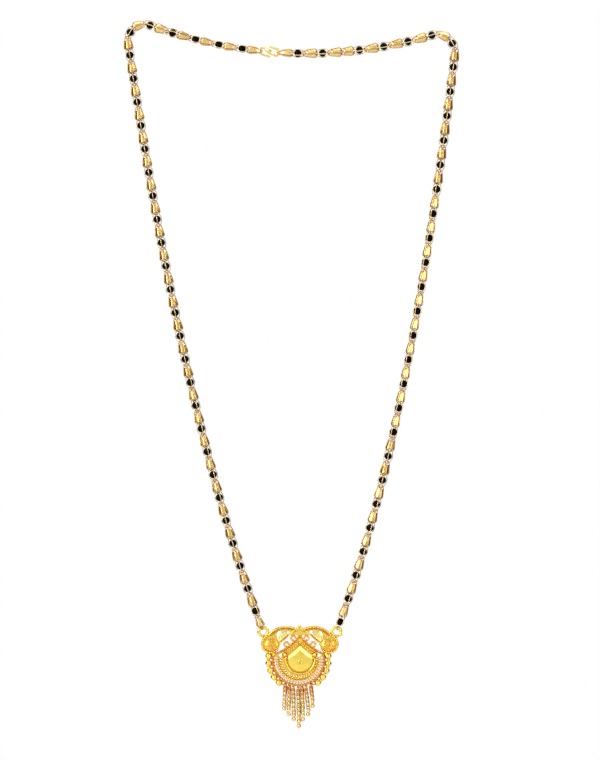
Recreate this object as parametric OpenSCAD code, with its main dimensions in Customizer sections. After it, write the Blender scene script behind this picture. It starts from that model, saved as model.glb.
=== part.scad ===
// Bridal bead necklace with a pierced gold pendant, a fringe of seven short chains and an S clasp.
// Units are millimetres.  X is to the viewer's right, Z is up and the viewer looks along +Y.
// The origin is midway between the two top corners that the chain hangs from.

/* [Chain] */
// Pivot to pivot length of a link in the strand on the viewer's left
left_pitch = 5.35; // [5.25:0.05:5.45]
// Pivot to pivot length of a link in the strand on the viewer's right
right_pitch = 5.55; // [5.45:0.05:5.65]
// Radius of the gold wire that the links are bent from
wire_radius = 0.2; // [0.16:0.01:0.22]
// Radius of a black bead
bead_radius = 1.7; // [1.55:0.05:1.75]
// Radius of a gold bell at its wide end
bell_wide_radius = 1.95; // [1.85:0.05:2.1]
// Radius of a gold bell at its narrow end
bell_narrow_radius = 1.45; // [1.4:0.05:1.55]

/* [Hanging form] */
// Lean of both strands away from upright at the pendant, in degrees
ring_lean = 20.75; // [20:0.25:21.5]
// How much the left strand straightens on the way up
left_straightening = 1.55; // [1.5:0.05:1.6]
// How much the right strand straightens on the way up
right_straightening = 2.1; // [2.05:0.05:2.15]

/* [Clasp] */
// Pivot to pivot length of the S clasp
hook_length = 8.85; // [8.6:0.05:9.1]
// Radius of the wire of the S clasp
hook_wire_radius = 0.5; // [0.45:0.01:0.52]
// Radius of the middle of the S clasp's bar
hook_bar_radius = 0.95; // [0.85:0.05:1.05]
// Bend radius of the two hooks, on the wire's middle line
hook_bend_radius = 1.55; // [1.5:0.05:1.65]

/* [Pendant] */
// Thickness of the pendant's plate
plate_thickness = 1.0; // [0.8:0.1:1.4]
// Distance between the two ring middles
ring_spacing = 32.9; // [32.5:0.1:33.3]
// Radius of a ring's wire middle line
ring_radius = 2.0; // [1.9:0.05:2.1]
// Radius of a ring's wire
ring_wire_radius = 0.65; // [0.55:0.05:0.7]
// Outer radius of the fan below
fan_radius = 11.9; // [11.6:0.1:12.2]
// Number of slots cut through the fan
slot_count = 28; // [24:2:30]
// Width of a slot
slot_width = 0.6; // [0.5:0.05:0.7]
// Radius of a ball on the fan's edge
edge_ball_radius = 1.5; // [1.35:0.05:1.55]
// Height of the domed drop in the middle over the plate
drop_height = 1.6; // [1.3:0.1:2.0]
// Radius of the wires laid on the plate
relief_wire_radius = 0.42; // [0.36:0.02:0.46]

/* [Fringe] */
// Radius of a fringe chain
fringe_radius = 0.75; // [0.6:0.05:0.8]
// Radius of the ball at the end of a fringe chain
fringe_ball_radius = 0.95; // [0.85:0.05:1.05]
// Length of the middle fringe chain, other lengths follow it
fringe_length = 15.8; // [15:0.2:16.6]

/* [Hidden] */
SIDES = ["left", "right"];
$fn = 48;

// Links of a strand from the pendant's ring up to the clasp
strand_links = 63;
left_side_links = 51;
right_side_links = 48;
corner_links = 2;
// The one place where two gold links follow each other, counted from the right ring
double_gold = 57;

// Play between two wires that hang in each other
play = 0.15;
strand_offset = wire_radius + 0.06;
eye_drop = wire_radius + 0.3;
cage_radius = bead_radius + wire_radius + 0.15;
fold_half = 1.0;
eye_radius = 1.25;
end_eye_radius = 1.4;
ring_drop = ring_wire_radius + wire_radius + play;
ring_fold_half = ring_wire_radius + wire_radius + 0.25;
hook_rise = hook_wire_radius + wire_radius + play + 0.12;

// Heights on a gold bell from its lower pivot, and how far it ends below the upper one
bell_rim_height = 0.3;
bell_floor_height = 1.4;
bell_collar_height = 1.5;
bell_top_gap = 1.1;
// The same where the chain bends sharply, or where the link takes a ring or the clasp
bent_rim_height = 0.8;
bent_top_gap = 1.32;
bell_wall = 0.33;

function left_lean(i) = atan(tan(ring_lean) / (1 + left_straightening * (i + 0.5) / left_side_links));
function right_lean(i) = atan(tan(ring_lean) / (1 + right_straightening * (i + 0.5) / right_side_links));

// The top stretch is a catenary: its slope grows evenly along its length
top_left_links = strand_links - left_side_links - corner_links;
top_right_links = strand_links - right_side_links - corner_links;
function top_middle(j) =
    j < top_left_links ? left_pitch * (j + 0.5)
    : j == top_left_links ? left_pitch * j + hook_length / 2
    : left_pitch * top_left_links + hook_length + right_pitch * (j - top_left_links - 0.5);
function top_angle(j, shape) = atan((top_middle(j) - shape[1]) / shape[0]);
top_pieces = top_left_links + 1 + top_right_links;

// Direction of every piece of the loop from the left ring to the right one, in degrees from +X
function blend_angle(from, to, j) = from + (to - from) * (j + 1) / (corner_links + 1);
function loop_angles(shape) =
    let (first_up = 90 + left_lean(left_side_links - 1))
    let (first_down = -90 - right_lean(right_side_links - 1))
    let (top_start = top_angle(0, shape))
    let (top_end = top_angle(top_pieces - 1, shape))
    concat(
        [for (i = [0 : left_side_links - 1]) 90 + left_lean(i)],
        [for (j = [0 : corner_links - 1]) blend_angle(first_up, top_start, j)],
        [for (j = [0 : top_pieces - 1]) top_angle(j, shape)],
        [for (j = [0 : corner_links - 1]) blend_angle(top_end, first_down, j)],
        [for (i = [right_side_links - 1 : -1 : 0]) -90 - right_lean(i)]
    );

piece_count = 2 * strand_links + 1;
function piece_length(k) = k < strand_links ? left_pitch : k == strand_links ? hook_length : right_pitch;

pivot_half = ring_spacing / 2 + ring_radius * sin(ring_lean);
function loop_end(angles) = [
    -pivot_half + sum_list([for (k = [0 : piece_count - 1]) piece_length(k) * cos(angles[k])]),
    sum_list([for (k = [0 : piece_count - 1]) piece_length(k) * sin(angles[k])])
];
function sum_list(v) = v * [for (i = v) 1];
function miss(shape) = loop_end(loop_angles(shape)) - [pivot_half, 0];

// Damped Newton steps for the two numbers of the catenary that close the loop
newton_step = 0.01;
step_limit = 12;
function limited(d) =
    let (m = max(abs(d[0]), abs(d[1])))
    m > step_limit ? d * step_limit / m : d;
function newton(shape, left) =
    left == 0 ? shape
    : let (f = miss(shape))
      let (fa = (miss(shape + [newton_step, 0]) - f) / newton_step)
      let (fb = (miss(shape + [0, newton_step]) - f) / newton_step)
      let (det = fa[0] * fb[1] - fa[1] * fb[0])
      let (d = [f[0] * fb[1] - f[1] * fb[0], fa[0] * f[1] - fa[1] * f[0]] / det)
      newton(shape - limited(d), left - 1);
catenary = newton([200, 72], 14);

angles = loop_angles(catenary);
raw_pivots = [
    for (k = 0, p = [-pivot_half, 0]; k <= piece_count;
        p = p + (k < piece_count ? piece_length(k) * [cos(angles[k]), sin(angles[k])] : [0, 0]), k = k + 1) p
];
left_corner = raw_pivots[left_side_links + 1];
right_corner = raw_pivots[piece_count - right_side_links - 1];
hang_middle = (left_corner + right_corner) / 2;
pivots = [for (p = raw_pivots) p - hang_middle];

// The pendant's own middle in the shared frame, and the two rings in its own coordinates
ring_height = 11.4;
pendant_x = -hang_middle[0];
pendant_z = -hang_middle[1] - ring_height - ring_radius * cos(ring_lean);

function is_gold(strand, i) = strand == 0 ? i % 2 == 0 : i > double_gold ? i % 2 == 0 : i % 2 == 1;
// Roll of a link about its own length: at 45 degrees a wire passes over the middle of a bead.
// Each strand has stretches turned by steps of 15 degrees: first link, last link, steps.
past_clasp = strand_links + 3;
turned_stretches = [
    [[-3, 3, 3], [10, 22, 1], [54, past_clasp, -3]],
    [[-3, 3, 3], [2, 12, 1], [14, 37, -2], [51, past_clasp, -1], [60, past_clasp, -2]]
];
function stretch_steps(t, i) = sign(t[2]) * max(0, min(abs(t[2]), i - t[0], t[1] - i));
function link_roll(strand, i) =
    45 + 15 * sum_list([for (t = turned_stretches[strand]) stretch_steps(t, i)]);
// Each strand is walked from its ring, so the right one runs against the loop's order
function link_pitch(strand) = strand == 0 ? left_pitch : right_pitch;
function link_foot(strand, i) = strand == 0 ? pivots[i] : pivots[piece_count - i];
function link_angle(strand, i) = strand == 0 ? angles[i] : angles[piece_count - 1 - i] + 180;

// A link's local point in the frame: P and Q are across the link, R is along it
function link_point(strand, i, p) =
    let (r = link_roll(strand, i))
    let (a = link_angle(strand, i))
    let (f = link_foot(strand, i))
    let (u = p[0] * cos(r) - p[1] * sin(r))
    let (v = p[0] * sin(r) + p[1] * cos(r))
    [f[0] + u * sin(a) + p[2] * cos(a), v, f[1] - u * cos(a) + p[2] * sin(a)];

function reversed(v) = [for (i = [len(v) - 1 : -1 : 0]) v[i]];
function cage_leg(sp, sq, pitch, drop, half) =
    let (s = cage_radius * sqrt(0.5))
    [
        [sp * half, sq * strand_offset, -drop],
        [sp * s, sq * s, pitch / 2 - 0.75],
        [sp * s, sq * s, pitch / 2 + 0.75],
        [sp * strand_offset, sq * fold_half, pitch + eye_drop]
    ];
function cage_line(pitch, drop, half) = concat(
    cage_leg(1, 1, pitch, drop, half),
    reversed(cage_leg(1, -1, pitch, drop, half)),
    cage_leg(-1, -1, pitch, drop, half),
    reversed(cage_leg(-1, 1, pitch, drop, half))
);
function unit(v) = v / norm(v);

// Rings of five points round a closed line that runs over a ball shape
wire_sides = 5;
function loop_rings(line, middle) =
    let (n = len(line))
    [
        for (i = [0 : n - 1])
            let (t = unit(line[(i + 1) % n] - line[(i + n - 1) % n]))
            let (u = unit(cross(t, line[i] - middle)))
            let (v = cross(u, t))
            for (s = [0 : wire_sides - 1])
                line[i] + wire_radius * (cos(360 * s / wire_sides) * u + sin(360 * s / wire_sides) * v)
    ];
function loop_faces(n, sides, base) = [
    for (i = [0 : n - 1])
        for (s = [0 : sides - 1])
            let (a = base + i * sides + s)
            let (b = base + i * sides + (s + 1) % sides)
            let (c = base + ((i + 1) % n) * sides + (s + 1) % sides)
            let (d = base + ((i + 1) % n) * sides + s)
            for (f = [[a, b, c], [a, c, d]]) f
];

// Links whose lower or upper pivot needs more room
function side_links(strand) = strand == 0 ? left_side_links : right_side_links;
function bent_below(strand, i) =
    i == 0 || (i >= side_links(strand) && i <= side_links(strand) + corner_links);
function bent_above(strand, i) =
    i == strand_links - 1 || (i >= side_links(strand) - 1 && i < side_links(strand) + corner_links);

function black_places(strand) = [for (i = [0 : strand_links - 1]) if (!is_gold(strand, i)) i];
function gold_places(strand) = [for (i = [0 : strand_links - 1]) if (is_gold(strand, i)) i];

// Wire cages round the black beads, one closed mesh a bead
module bead_links(strand) {
    places = black_places(strand);
    pitch = link_pitch(strand);
    cage_points = [
        for (i = places)
            let (drop = i == 0 ? ring_drop : eye_drop)
            let (half = i == 0 ? ring_fold_half : fold_half)
            for (p = loop_rings(cage_line(pitch, drop, half), [0, 0, pitch / 2]))
                link_point(strand, i, p)
    ];
    cage_size = 16 * wire_sides;
    cage_faces = [
        for (k = [0 : len(places) - 1])
            for (f = loop_faces(16, wire_sides, k * cage_size)) f
    ];
    color("gold") polyhedron(cage_points, cage_faces, convexity = 12);
}

// Puts a solid drawn along Z from a link's lower pivot into its place
module at_link(strand, i) {
    foot = link_foot(strand, i);
    translate([foot[0], 0, foot[1]])
        rotate([0, 90 - link_angle(strand, i), 0])
            rotate([0, 0, link_roll(strand, i)])
                children();
}

module torus(radius, section) {
    rotate_extrude() translate([radius, 0]) circle(section, $fn = 16);
}

// An eye of wire: most of a ring, its two ends sunk in the bell
eye_turn = 300;
module eye(radius) {
    rotate([0, 0, -eye_turn / 2])
        rotate_extrude(angle = eye_turn) translate([radius, 0]) circle(wire_radius, $fn = 16);
}

// A gold bell, open at its wide end, with two wire eyes side by side at each end
module gold_link(pitch, low, low_radius, high, high_radius, rim, top_gap) {
    top = pitch - top_gap;
    inner = bell_wide_radius - bell_wall;
    rotate_extrude() polygon([
        [0, bell_floor_height],
        [inner, bell_floor_height],
        [inner, rim],
        [bell_wide_radius, rim],
        [bell_wide_radius, bell_collar_height],
        [bell_narrow_radius, top],
        [0, top]
    ]);
    for (side = [-1, 1]) {
        translate([0, side * strand_offset, low_radius - low])
            rotate([90, 90, 0]) eye(low_radius);
        translate([side * strand_offset, 0, pitch + high - high_radius])
            rotate([0, -90, 0]) eye(high_radius);
    }
}

module gold_links(strand) {
    color("gold")
        for (i = gold_places(strand))
            at_link(strand, i)
                gold_link(
                    link_pitch(strand),
                    i == 0 ? ring_drop : eye_drop,
                    i == 0 ? end_eye_radius : eye_radius,
                    i == strand_links - 1 ? hook_rise : eye_drop,
                    i == strand_links - 1 ? end_eye_radius : eye_radius,
                    bent_below(strand, i) ? bent_rim_height : bell_rim_height,
                    bent_above(strand, i) ? bent_top_gap : bell_top_gap
                );
}

module black_beads(strand) {
    color("black")
        for (i = black_places(strand))
            at_link(strand, i)
                translate([0, 0, link_pitch(strand) / 2]) sphere(bead_radius);
}

// One half of the clasp: its hook round the chain's last eye and the arm to the open tip
hook_reach = hook_length / 2 - hook_bend_radius;
hook_turn = acos(hook_bend_radius / hook_reach);
tip_turn = 257;
tip_length = 3.4;
hook_lap = 0.06;
module hook_half() {
    translate([-hook_reach, 0]) {
        rotate([0, 0, hook_turn])
            rotate_extrude(angle = tip_turn - hook_turn)
                translate([hook_bend_radius, 0]) circle(hook_wire_radius, $fn = 24);
        rotate([0, 0, tip_turn]) translate([hook_bend_radius, 0]) rotate([-90, 0, 0]) {
            translate([0, 0, -hook_lap])
                cylinder(h = tip_length, r1 = hook_wire_radius + 0.03, r2 = hook_wire_radius * 0.9);
            translate([0, 0, tip_length - hook_lap - 0.1]) sphere(hook_wire_radius * 0.97);
        }
    }
}

// The clasp's slanted bar, thickest in its middle
module hook_bar() {
    half = hook_reach * sin(hook_turn);
    thin = hook_wire_radius + 0.03;
    rotate([0, 0, hook_turn]) rotate([90, 0, 0])
        rotate_extrude() polygon([
            [0, -half - hook_lap],
            [thin, -half - hook_lap],
            [thin, -half],
            [hook_bar_radius, -0.7],
            [hook_bar_radius, 0.7],
            [thin, half],
            [thin, half + hook_lap],
            [0, half + hook_lap]
        ]);
}

module s_hook() {
    middle = (pivots[strand_links] + pivots[strand_links + 1]) / 2;
    color("khaki")
        translate([middle[0], 0, middle[1]])
            rotate([0, -angles[strand_links], 0])
                rotate([90, 0, 0]) {
                    hook_half();
                    rotate([0, 0, 180]) hook_half();
                    hook_bar();
                }
}

// Pendant shapes in its own plane: X to the right, Y up, Z towards the viewer
arch_middle = [-6.25, 3.64];
arch_radius = 10.4;
bulb_middle = [-13.1, 5.9];
bulb_radius = 4.4;
roof_radius = 28.5;
// The roof's arcs bend between a foot beside the bulb and the peak, whatever their radius
roof_foot = [-11.39, 1.37];
roof_peak = [0.16, 10.15];
roof_chord = roof_peak - roof_foot;
roof_tilt = atan2(roof_chord[1], roof_chord[0]);
roof_half = asin(norm(roof_chord) / 2 / roof_radius);
roof_from = roof_tilt - 90 - roof_half;
roof_middle = roof_foot - roof_radius * [cos(roof_from), sin(roof_from)];
fan_middle = [-0.6, -1.2];
grain_count = 17;
drop_middle = [0.2, -0.8];
drop_radius = 5.5;
face = plate_thickness / 2;
wire_lift = 0.08;
rim_inset = relief_wire_radius + 0.07;
slot_inner = 9.4;
slot_outer = fan_radius - 0.95;
ball_ring = fan_radius + 1.6;

module both_sides() {
    children();
    mirror([1, 0, 0]) children();
}

// A wire arc laid on the plate, its middle line a little above the plate's face
module arc_wire(middle, radius, from, to, section) {
    translate([middle[0], middle[1], wire_lift])
        rotate([0, 0, from])
            rotate_extrude(angle = to - from)
                translate([radius, 0]) rotate(-90) circle(section, $fn = 16);
}

module bar_wire(from, to, section) {
    d = to - from;
    translate([from[0], from[1], wire_lift])
        rotate([0, 0, atan2(d[1], d[0])])
            rotate([0, 90, 0]) cylinder(h = norm(d), r = section, $fn = 16);
}

module paisley_shape() {
    translate(bulb_middle) circle(bulb_radius);
    intersection() {
        translate(arch_middle) circle(arch_radius);
        polygon([[-20, 5.6], [-9.1, 5.6], [-1.2, 12.7], [-1.2, 16], [-20, 16]]);
    }
}

module middle_shape() {
    difference() {
        polygon([[0, 10.6], [-11.6, 1.5], [-11.3, -1.4], [10.8, -1.4], [11.6, 1.5]]);
        both_sides() translate(roof_middle) circle(roof_radius, $fn = 96);
    }
}

module fan_shape() {
    intersection() {
        translate(fan_middle) circle(fan_radius);
        polygon([[-14, -15], [14, -15], [14, 0.5], [11, 1.8], [-11, 1.8], [-14, 0.5]]);
    }
}

module gaps_shape() {
    translate(fan_middle)
        for (i = [0 : slot_count - 1])
            rotate([0, 0, 172 + 196 * (i + 0.5) / slot_count])
                translate([slot_inner, -slot_width / 2]) square([slot_outer - slot_inner, slot_width]);
    both_sides() polygon([[-9.9, 1.0], [-7.7, 2.1], [-8.0, -0.4]]);
}

module plate() {
    translate([0, 0, -face])
        linear_extrude(plate_thickness)
            difference() {
                union() {
                    both_sides() paisley_shape();
                    both_sides() translate([-11.7, 1.6]) circle(1.1);
                    middle_shape();
                    fan_shape();
                    both_sides() polygon([[0, 9.2], [-1.4, 9.9], [-4.2, 10.1], [-1.1, 13.4], [0, 13.4]]);
                }
                gaps_shape();
                both_sides() upper_gap();
            }
}

// The open field between a paisley and the roof, kept clear of the fan's corner
module upper_gap() {
    intersection() {
        translate(roof_middle) circle(roof_radius, $fn = 96);
        polygon([[-8.9, 5.4], [-9.6, 3.4], [-1.1, 3], [-1.1, 9.9], [-4.2, 10.1]]);
    }
}

module paisley_relief() {
    translate([0, 0, face]) {
        arc_wire(arch_middle, arch_radius - rim_inset, 58, 142, relief_wire_radius);
        arc_wire(bulb_middle, bulb_radius - rim_inset, 112, 318, relief_wire_radius);
        bar_wire([-9.3, 5.9], [-1.7, 12.7], relief_wire_radius * 0.8);
        for (p = [[-12.6, 8.5], [-11.7, 9.9], [-10.7, 7.9]])
            translate(p) sphere(0.38, $fn = 16);
        for (i = [0 : grain_count - 1])
            translate(arch_middle) rotate([0, 0, 60 + 80 * i / (grain_count - 1)])
                translate([arch_radius - rim_inset, 0, 0.25]) sphere(relief_wire_radius + 0.05, $fn = 16);
        for (i = [0 : grain_count - 1])
            translate(bulb_middle) rotate([0, 0, 120 + 190 * i / (grain_count - 1)])
                translate([bulb_radius - rim_inset, 0, 0.25]) sphere(relief_wire_radius + 0.05, $fn = 16);
        translate([0, 0, petal_height - 0.15]) arc_wire(petal_middle, 1.1, 20, 240, 0.2);
        translate([0, 0, petal_height - 0.42]) arc_wire(petal_middle, 2.2, 50, 212, 0.2);
    }
    petal();
    bulb_dome();
}

// Low swelling in the paisley's bulb: the cap of a large ball
bulb_dome_middle = [-12.7, 5.2];
bulb_dome_radius = 3.1;
bulb_dome_height = 0.75;
bulb_dome_curve = 6.5;
module bulb_dome() {
    intersection() {
        translate([bulb_dome_middle[0], bulb_dome_middle[1], face + bulb_dome_height - bulb_dome_curve])
            sphere(bulb_dome_curve);
        translate(bulb_dome_middle) cylinder(h = 3, r = bulb_dome_radius);
    }
}

// Polished leaf in the paisley's upper field, a shallow dome cut straight along the inner edge
petal_middle = [-7.1, 9.3];
petal_radius = 3.3;
petal_height = 0.9;
petal_dome = 7;
module petal() {
    intersection() {
        translate([petal_middle[0], petal_middle[1], face + petal_height - petal_dome]) sphere(petal_dome);
        linear_extrude(3) intersection() {
            translate(petal_middle) circle(petal_radius);
            polygon([[-12.5, 3.9], [-1, 14.2], [-6, 16], [-14, 12]]);
        }
    }
}

// Small open scroll between a paisley and the roof
curl_wire_radius = 0.45;
module curl(middle, from, to) {
    translate([0, 0, 0.12]) arc_wire(middle, 1.0, from, to, curl_wire_radius);
}

module roof_relief() {
    translate([0, 0, face]) {
        arc_wire(roof_middle, roof_radius + 0.1, roof_from, roof_from + 2 * roof_half, relief_wire_radius);
        for (row = [0, 1])
            for (i = [0 : 7])
                translate(roof_middle)
                    rotate([0, 0, roof_from + 2 * roof_half * (0.254 + 0.034 * row + 0.0746 * i)])
                        translate([roof_radius + 1.05 + 0.95 * row, 0]) sphere(0.42, $fn = 16);
        translate([-11.8, 1.2]) sphere(0.85, $fn = 24);
        translate([-6.7, 1.0]) sphere(0.95);
        translate([-6.2, -0.3]) sphere(0.65);
    }
    curl([-2.95, 8.6], -20, 290);
    curl([-6.0, 5.75], -20, 290);
}

// Domed drop with two bright bevels along its upper edges and a small rosette
drop_curve = 20;
module drop() {
    intersection() {
        translate([drop_middle[0], drop_middle[1], face + drop_height - drop_curve])
            sphere(drop_curve, $fn = 96);
        linear_extrude(5) union() {
            translate(drop_middle) circle(drop_radius);
            polygon([[0.2, 5.0], [-5.1, 0.3], [-5.1, -1], [5.5, -1], [5.5, 0.3]]);
        }
        upper_bevel(1);
        upper_bevel(-1);
    }
    translate([drop_middle[0], drop_middle[1] - 1.2, face + drop_height - 0.07])
        torus(0.95, 0.28);
    translate([drop_middle[0], drop_middle[1] - 1.2, face + drop_height - 0.3]) sphere(0.45, $fn = 24);
}

// The space under a plane that slopes down towards one upper edge of the drop
module upper_bevel(side) {
    translate([0.2, 5.0, face + 0.15])
        rotate([0, 0, side * 40])
            rotate([-42, 0, 0])
                translate([-20, -30, -20]) cube([40, 30, 20]);
}

module fan_relief() {
    translate([0, 0, face]) {
        arc_wire(fan_middle, fan_radius - rim_inset, 169, 371, relief_wire_radius);
        arc_wire(fan_middle, slot_inner - 0.22, 171, 369, 0.24);
        arc_wire(drop_middle, drop_radius + 1.1, 176, 364, relief_wire_radius * 1.15);
        translate(fan_middle)
            for (i = [0 : 20])
                rotate([0, 0, 180 + 9 * i]) translate([8.25, 0]) sphere(0.5, $fn = 16);
    }
}

module edge_balls() {
    translate(fan_middle)
        for (side = [0, 180])
            for (i = [0 : 4])
                rotate([0, 0, side == 0 ? 7 - 14.2 * i : 173 + 14.2 * i]) {
                    translate([ball_ring, 0]) sphere(edge_ball_radius);
                    translate([fan_radius - 0.5, 0]) rotate([0, 90, 0])
                        cylinder(h = ball_ring - fan_radius + 0.5, r = face);
                }
}

// Fringe: x at the top, x of the ball, share of the middle chain's length
fringe = [
    [-6.5, -7.0, 0.60],
    [-4.7, -5.0, 0.71],
    [-2.9, -2.7, 0.82],
    [-0.7, -0.4, 1.00],
    [1.0, 1.4, 0.82],
    [2.8, 3.8, 0.70],
    [5.0, 5.8, 0.52]
];
eyelet_radius = 0.42;
eyelet_wire = 0.18;
function rim_z(x) = fan_middle[1] - sqrt(pow(fan_radius, 2) - pow(x - fan_middle[0], 2));
function fringe_top(k) = rim_z(fringe[k][0]) - eyelet_radius - eyelet_wire - 0.15;
function fringe_bottom(k) = fringe_top(k) - fringe_length * fringe[k][2];

module eyelets() {
    for (f = fringe)
        translate([f[0], rim_z(f[0]), 0]) torus(eyelet_radius, eyelet_wire);
}

// Place of the solder between a ring and the arch below it, and the foot of its short neck
ring_solder = [-ring_spacing / 2 + 1.9, ring_height - 1.2];
ring_seat = [-13.8, 9.2];
module ring_neck() {
    d = ring_seat - ring_solder;
    translate(ring_solder)
        rotate([0, 0, atan2(d[1], d[0])])
            rotate([0, 90, 0]) cylinder(h = norm(d), r = 0.45, $fn = 24);
}

module pendant_plate() {
    color("goldenrod")
        at_pendant() {
            plate();
            both_sides() paisley_relief();
            both_sides() roof_relief();
            fan_relief();
            drop();
            edge_balls();
            eyelets();
            both_sides() {
                translate([-ring_spacing / 2, ring_height]) torus(ring_radius, ring_wire_radius);
                translate([ring_solder[0], ring_solder[1], 0.04]) sphere(0.72, $fn = 24);
                ring_neck();
            }
            translate([0, 13.9, 0.1]) sphere(0.65, $fn = 24);
            both_sides() translate([-0.85, 12.9, 0.3]) sphere(0.7, $fn = 24);
            translate([ring_spacing / 2 + 2.25, ring_height - 1.5, 0]) sphere(0.5, $fn = 24);
        }
}

module at_pendant() {
    translate([pendant_x, 0, pendant_z]) rotate([90, 0, 0]) children();
}

// A tube along a fringe chain, swept as one closed mesh
fringe_rings = 7;
fringe_sides = 8;
function fringe_line(k) = [
    for (j = [0 : fringe_rings - 1])
        let (t = j / (fringe_rings - 1))
        let (s = t * t * (3 - 2 * t))
        [
            fringe[k][0] + (fringe[k][1] - fringe[k][0]) * s,
            fringe_top(k) + (fringe_bottom(k) - fringe_top(k)) * t,
            0
        ]
];

module fringe_chain(k) {
    line = fringe_line(k);
    last = (fringe_rings - 1) * fringe_sides;
    points = [
        for (p = line)
            for (s = [0 : fringe_sides - 1])
                let (a = 360 * (s + 0.5) / fringe_sides)
                p + fringe_radius * [cos(a), 0, sin(a)]
    ];
    sides = [
        for (j = [0 : fringe_rings - 2])
            for (s = [0 : fringe_sides - 1])
                let (a = j * fringe_sides + s)
                let (b = j * fringe_sides + (s + 1) % fringe_sides)
                for (f = [[a, a + fringe_sides, b + fringe_sides], [a, b + fringe_sides, b]]) f
    ];
    caps = [
        [for (s = [0 : fringe_sides - 1]) s],
        [for (s = [fringe_sides - 1 : -1 : 0]) last + s]
    ];
    color("gold") at_pendant() polyhedron(points, concat(sides, caps), convexity = 4);
}

module fringe_ball(k) {
    cap = 0.45;
    color("gold")
        at_pendant()
            translate([fringe[k][1], fringe_bottom(k) - 0.15, 0])
                rotate([90, 0, 0]) {
                    cylinder(h = cap + 0.3, r1 = 0.45, r2 = 0.6, $fn = 24);
                    translate([0, 0, cap + fringe_ball_radius * 0.8]) sphere(fringe_ball_radius);
                }
}

pendant_plate();
s_hook();
for (k = [0, 1]) {
    bead_links(k);
    gold_links(k);
    black_beads(k);
}
for (k = [0 : 6]) {
    fringe_chain(k);
    fringe_ball(k);
}
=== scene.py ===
import bmesh
import bpy
from math import atan, atan2, copysign, cos, degrees, hypot, pi, radians, sin, sqrt, tan
from mathutils import Matrix, Vector


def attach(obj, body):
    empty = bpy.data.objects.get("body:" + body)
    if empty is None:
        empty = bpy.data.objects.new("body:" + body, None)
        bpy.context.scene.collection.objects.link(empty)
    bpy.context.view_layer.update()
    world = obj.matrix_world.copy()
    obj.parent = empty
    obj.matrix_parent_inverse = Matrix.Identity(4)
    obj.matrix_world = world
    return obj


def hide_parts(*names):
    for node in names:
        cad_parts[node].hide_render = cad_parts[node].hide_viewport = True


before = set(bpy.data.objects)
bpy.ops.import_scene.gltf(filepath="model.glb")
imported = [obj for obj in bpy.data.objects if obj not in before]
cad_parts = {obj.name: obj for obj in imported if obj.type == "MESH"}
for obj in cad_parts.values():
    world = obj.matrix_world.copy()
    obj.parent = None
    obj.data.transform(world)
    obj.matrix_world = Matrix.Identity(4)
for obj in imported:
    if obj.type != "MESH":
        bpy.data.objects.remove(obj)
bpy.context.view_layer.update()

# Sizes are in millimetres here, and a piece is brought to metres when it is finished
MM = 0.001

# The chain: pivot to pivot length of a link, links a strand, and how many of them hang at the side
# and at the top corner
PITCH = {"left": 5.35, "right": 5.55}
LINKS = 63
SIDE_LINKS = {"left": 51, "right": 48}
CORNER_LINKS = 2
CLASP_LENGTH = 8.85
# Where two gold links follow each other, counted from the right ring
DOUBLE_GOLD = 57

# Its hanging form: lean at the rings, how much a strand straightens on the way up, scale and lowest
# point of the slack top stretch, and the pivot in the left ring
RING_LEAN = radians(20.75)
STRAIGHTENING = {"left": 1.55, "right": 2.1}
TOP_CURVE = (197.545, 74.398)
LEFT_RING = (-13.3154, -267.727)

# Turn of a link about its own length in degrees, and the stretches where it takes more or fewer
# steps: first link, last link, steps. A stretch that ends past the clasp keeps its full turn there.
ROLL = 45
ROLL_STEP = 15
PAST_CLASP = 66
TURNED = {
    "left": [(-3, 3, 3), (10, 22, 1), (54, PAST_CLASP, -3)],
    "right": [(-3, 3, 3), (2, 12, 1), (14, 37, -2), (51, PAST_CLASP, -1), (60, PAST_CLASP, -2)],
}

# A link's folded ring of wire: its radius, how far the strands lie off the middle, and how far the
# fold and the loop reach past the pivots, with half their width
WIRE = 0.2
STRAND_OFFSET = 0.26
EYE_DROP = 0.5
EYE_HALF = 0.95
RING_DROP = 1.0
RING_HALF = 1.1
CLASP_RISE = 0.97
# An eye's ends start this far inside it, and its middle stands out this much
EYE_CORNER = 0.2
EYE_CROWN = 0.06
# How far the wires of a cage bulge round its bead, in the middle and this far above and below it
CAGE_RADIUS = 1.98
CAGE_SHOULDER = 1.78
CAGE_REACH = 1.2

# A bell: height of its rim, how far its top ends below the upper pivot, and both where the link
# takes a ring, the clasp or a corner
BELL_RIM = 0.3
BELL_TOP_GAP = 1.1
BENT_RIM = 0.8
BENT_TOP_GAP = 1.32
# Its widest radius, how much of it the top loses and the height where that starts; then the
# corners round it, its flutes and how far they go in
BELL_RADIUS = 1.95
BELL_TAPER = 0.5
BELL_COLLAR = 1.5
BELL_STEPS = 24
BELL_FLUTES = 8
GROOVE_SCALE = 0.86

# Fringe chains: x at the top, x of the ball, height of the eyelet's foot, height of the ball's top
FRINGE = [
    (-6.5, -7.0, -12.284, -21.764),
    (-4.7, -5.0, -13.121, -24.339),
    (-2.9, -2.7, -13.626, -26.582),
    (-0.7, -0.4, -13.850, -29.650),
    (1.0, 1.4, -13.742, -26.698),
    (2.8, 3.8, -13.354, -24.414),
    (5.0, 5.8, -12.450, -20.666),
]
# Their box links: length of one in the chain, radius to its corners, rounding, width and thickness
BOX_SPACING = 0.95
BOX_RADIUS = 1.22
BOX_ROUNDING = 0.3
BOX_WIDTH = 1.06
BOX_WALL = 0.27
# A box link is turned this many degrees, give or take the sway
BOX_TURN = 8
BOX_SWAY = 10
# The ring in an eyelet: its radius, its wire and its height over the eyelet's foot
FRINGE_RING = 0.42
FRINGE_RING_WIRE = 0.15
FRINGE_RING_LIFT = 0.12

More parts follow.
